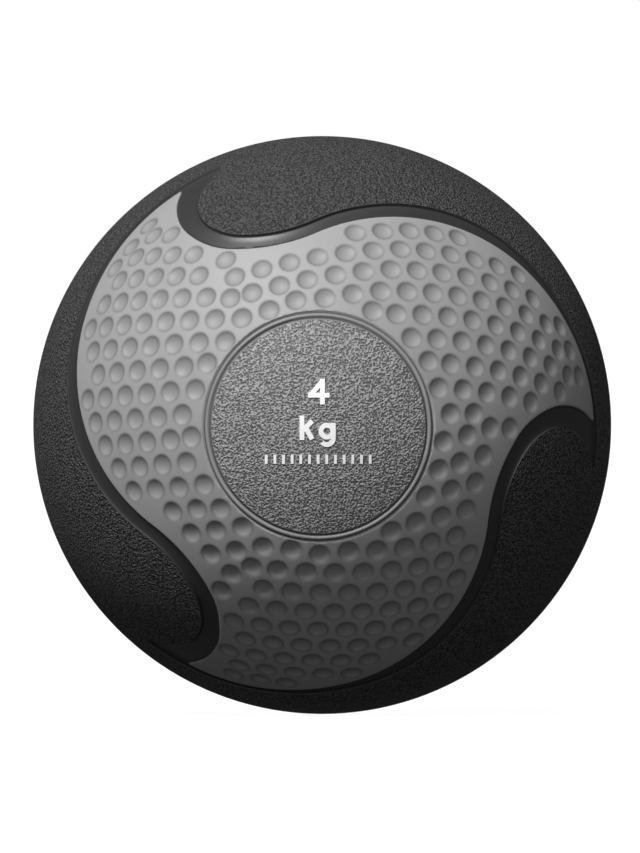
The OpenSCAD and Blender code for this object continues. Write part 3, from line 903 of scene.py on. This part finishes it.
class MESH_OT_ball_badges(bpy.types.Operator):
    """Round badges of both halves, with their bead and leather grain"""
    bl_idname = "mesh.ball_badges"
    bl_label = "Badges"

    def execute(self, context):
        levels, finish, badge = settings("levels", "finish", "badge")
        r, step = levels.pad_r, finish.badge_step
        under = r - levels.inlay_drop - levels.inlay_t + levels.film
        edge = ring(badge_arc(), finish.inlay_step)
        rows = [ring(badge_arc() - share * badge.bead_w, finish.inlay_step) for share in BEAD_ROWS]
        spread = lattice(badge_arc() - 1.5 * badge.bead_w, step)
        hidden = lattice(badge_arc() - MM, finish.hidden_step)
        for name, side in SIDES.items():
            hole = [] if side > 0 else [ring(badge.core_r, 0.5 * MM)]
            clear = badge.core_r + 0.4 * step if hole else -1.0
            inner = spread[away(spread) > clear]
            under_inner = hidden[away(hidden) > clear + MM]
            top, top_faces = triangles_between([edge, *hole], [*rows, inner])
            base, base_faces = triangles_between([edge, *hole], [under_inner])
            at = functools.partial(on_ball, pad_r=r, side=side)

            def surface(points, hole=hole):
                """The badge's surface, eased into a level ring round the valve core where there is one."""
                radii = badge_radius(points)
                if hole:
                    near = eased((away(points) - badge.core_r) / (0.8 * MM))
                    radii = radii * near + (r - levels.badge_drop - VALVE_DIP) * (1 - near)
                return radii

            parts = [
                (at(top, surface(top)), top_faces),
                wall(at(edge, surface(edge)), at(edge, under)),
                (at(base, under), base_faces[:, ::-1]),
            ]
            parts += [wall(at(h, surface(h)), at(h, under), False) for h in hole]

            def grain(points, side=side):
                """1 inside the bead and 0 over it."""
                off_edge = badge_arc() - away(on_map(points, r, side))
                return eased((off_edge / badge.bead_w - 1.15) / 0.3)

            def crease(points, side=side):
                """Painted shade: bells over the two grooves beside the bead."""
                e = (badge_arc() - away(on_map(points, r, side))) / badge.bead_w
                return np.maximum(np.exp(-(e / 0.12) ** 2), np.exp(-((e - 1.02) / 0.14) ** 2))

            piece = closed_mesh(f"ball_badge_{name}", parts, grain=grain, crease=crease)
            finish_piece(piece, badge_rubber(), f"badge_{name}")
        return {"FINISHED"}


class MESH_OT_ball_inner_layers(bpy.types.Operator):
    """Materials of the layers and parts that keep the frame's own shape"""
    bl_idname = "mesh.ball_inner_layers"
    bl_label = "Inner layers and print"

    def execute(self, context):
        finishes = {
            "bladder": bladder_rubber, "valve_boot": bladder_rubber, "thread_winding": nylon_thread,
            "valve_core": valve_rubber, "weight_shell_front": heavy_rubber,
            "weight_shell_rear": heavy_rubber, "weight_mark_front": white_ink, "weight_mark_rear": white_ink,
        }
        for node, make in finishes.items():
            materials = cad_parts[node].data.materials
            materials.clear()
            materials.append(make())
        return {"FINISHED"}


class MESH_OT_ball_stage(bpy.types.Operator):
    """Floor, lights, surroundings and camera"""
    bl_idname = "mesh.ball_stage"
    bl_label = "Stage"

    def execute(self, context):
        stage, levels = settings("stage", "levels")
        scene = context.scene
        self.camera(scene, stage, levels)
        self.floor(stage, levels)
        for name in ("key", "side", "front", "back"):
            *way, strength, angle = getattr(stage, name)
            data = bpy.data.lights.new(f"{name}_light", "SUN")
            data.energy, data.angle = strength, math.radians(angle)
            lamp = bpy.data.objects.new(data.name, data)
            lamp.rotation_euler = Vector(way).to_track_quat("Z", "Y").to_euler()
            scene.collection.objects.link(lamp)
        self.surroundings(scene, stage)
        scene.view_settings.view_transform = "Standard"
        return {"FINISHED"}

    def camera(self, scene, stage, levels):
        """The distance gives the ball's outline its radius in the image, and the shift gives it its place."""
        width, height = IMAGE
        radius, x, y = stage.outline
        data = bpy.data.cameras.new("camera")
        data.lens, data.sensor_width = stage.lens[0], SENSOR
        data.clip_end = 100.0
        data.shift_x, data.shift_y = (width / 2 - x) / height, (y - height / 2) / height
        camera = bpy.data.objects.new("camera", data)
        distance = levels.pad_r / math.sin(math.atan(radius / (stage.lens[0] / SENSOR * height)))
        turn, rise = (math.radians(a) for a in stage.camera_turn)
        back = Vector((math.sin(turn) * math.cos(rise), -math.cos(turn) * math.cos(rise), math.sin(rise)))
        camera.location = back * distance
        camera.rotation_mode = "QUATERNION"
        camera.rotation_quaternion = (-back).to_track_quat("-Z", "Y")
        scene.collection.objects.link(camera)
        scene.camera = camera

    def floor(self, stage, levels):
        """A flat round floor under the ball, which neither lights the ball nor shows in its gloss."""
        n, reach = 96, 60.0
        rim = reach * bearing(np.arange(n) * 360 / n)
        points = np.concatenate([rim, np.full((n, 1), -levels.pad_r)], 1)
        mesh = bpy.data.meshes.new("studio_floor")
        mesh.from_pydata(points.tolist(), [], [list(range(n))])
        floor = bpy.data.objects.new("studio_floor", mesh)
        bpy.context.scene.collection.objects.link(floor)
        f = Finish("studio_floor")
        low, high = shades("floor", 0.99, 1.0)
        mesh.materials.append(f.done(f.blend(f.noise(0.4), low, high), 0.9, f.bump(f.noise(0.02), 0.1 * MM),
                                     Specular_IOR_Level=0.1, Emission_Color=WHITE,
                                     Emission_Strength=stage.glow[0]))
        floor.visible_diffuse = floor.visible_glossy = False

    def surroundings(self, scene, stage):
        """White all round for the camera, and a weak even fill for everything else."""
        world = bpy.data.worlds.new("studio")
        world.use_nodes = True
        scene.world = world
        tree = world.node_tree
        fill = tree.nodes["Background"]
        fill.inputs["Color"].default_value = WHITE
        fill.inputs["Strength"].default_value = stage.fill[0]
        backdrop = tree.nodes.new("ShaderNodeBackground")
        backdrop.inputs["Color"].default_value = WHITE
        path = tree.nodes.new("ShaderNodeLightPath")
        mix = tree.nodes.new("ShaderNodeMixShader")
        tree.links.new(path.outputs["Is Camera Ray"], mix.inputs[0])
        tree.links.new(fill.outputs[0], mix.inputs[1])
        tree.links.new(backdrop.outputs[0], mix.inputs[2])
        tree.links.new(mix.outputs[0], tree.nodes["World Output"].inputs["Surface"])


OPERATORS = (MESH_OT_ball_covers, MESH_OT_ball_inlays, MESH_OT_ball_badges, MESH_OT_ball_inner_layers,
             MESH_OT_ball_stage)


class VIEW3D_PT_medicine_ball(bpy.types.Panel):
    """The steps of the build and their settings"""
    bl_idname = "VIEW3D_PT_medicine_ball"
    bl_label = "Medicine Ball"
    bl_space_type = "VIEW_3D"
    bl_region_type = "UI"
    bl_category = "Medicine Ball"

    def draw(self, context):
        for operator in OPERATORS:
            self.layout.operator(operator.bl_idname)
        for group in GROUPS:
            box = self.layout.box()
            for name in GROUPS[group].__annotations__:
                box.prop(getattr(context.scene, group), name)


def register():
    for cls in (*GROUPS.values(), *OPERATORS, VIEW3D_PT_medicine_ball):
        bpy.utils.register_class(cls)
    for name, cls in GROUPS.items():
        setattr(bpy.types.Scene, name, bpy.props.PointerProperty(type=cls))


def unregister():
    for name in GROUPS:
        delattr(bpy.types.Scene, name)
    for cls in reversed((*GROUPS.values(), *OPERATORS, VIEW3D_PT_medicine_ball)):
        bpy.utils.unregister_class(cls)


def main():
    register()
    for operator in OPERATORS:
        group, name = operator.bl_idname.split(".")
        getattr(getattr(bpy.ops, group), name)()


if __name__ == "__main__":
    main()
